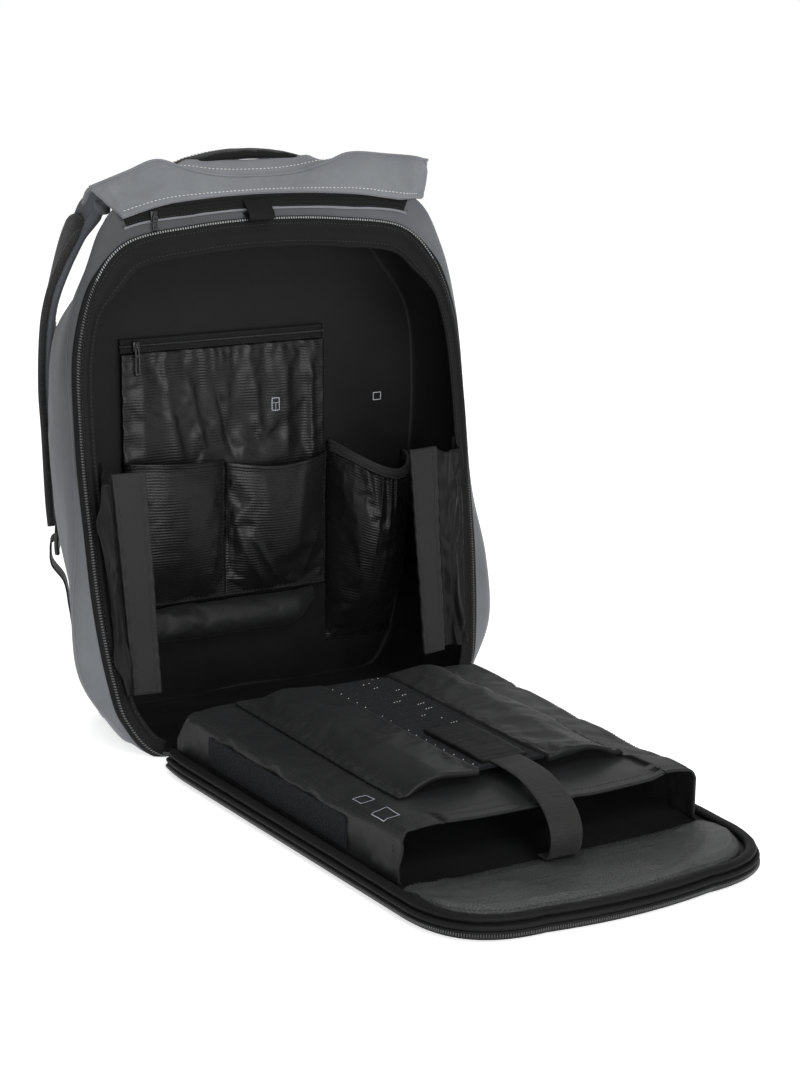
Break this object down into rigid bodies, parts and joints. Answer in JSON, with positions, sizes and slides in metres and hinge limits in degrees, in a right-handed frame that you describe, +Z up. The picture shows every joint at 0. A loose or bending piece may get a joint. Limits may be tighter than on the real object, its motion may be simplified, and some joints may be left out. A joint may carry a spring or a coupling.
{
  "type": "anti-theft backpack",
  "caption": "Grey clamshell laptop backpack standing open, its padded back panel with laptop and tablet sleeves folded down in front, straps thrown over behind.",
  "frame": {"origin": "middle of the shell's flat base, on the ground", "axes": "+Z up, +Y to the rear, away from the folded-down panel, +X to the right as seen from the open side"},
  "size_m": [0.3667, 0.6144, 0.4401],
  "materials": {
    "grey_cloth": "matte",
    "lining": "satin",
    "black_cloth": "matte",
    "padding": "matte",
    "black_mesh": "matte",
    "hook_tape": "matte",
    "black_plastic": "satin"
  },
  "bodies": {
    "root": {"shell": "grey_cloth", "lining": "lining", "rim_tape": "black_cloth", "top_zip_tape": "black_cloth", "top_zip_puller": "black_plastic", "pull_tab": "black_cloth", "yoke": "grey_cloth", "grab_handle": "black_cloth", "strap_cover_left": "grey_cloth", "strap_mesh_left": "black_mesh", "ladder_lock_left": "black_plastic", "strap_webbing_left": "black_cloth", "hook_strip_left": "hook_tape", "tablet_pad_left": "padding", "strap_cover_right": "grey_cloth", "strap_mesh_right": "black_mesh", "ladder_lock_right": "black_plastic", "strap_webbing_right": "black_cloth", "hook_strip_right": "hook_tape", "tablet_pad_right": "padding", "zip_pocket": "lining", "zip_pocket_tape": "black_cloth", "zip_pocket_puller": "black_plastic", "book_pocket": "lining", "phone_pocket": "lining", "bottle_pocket": "lining", "bottle_pocket_binding": "black_cloth", "bolster": "padding", "wing_left": "lining", "wing_tab_left": "padding", "wing_right": "lining", "wing_tab_right": "padding", "panel_board": "black_cloth", "panel_zip": "black_cloth", "panel_welt": "black_cloth", "panel_pad": "padding", "hinge_web": "lining", "laptop_sleeve": "padding", "tablet_strip": "hook_tape", "closing_tab": "black_cloth", "elastic_strap": "black_cloth"}
  },
  "joints": []
}
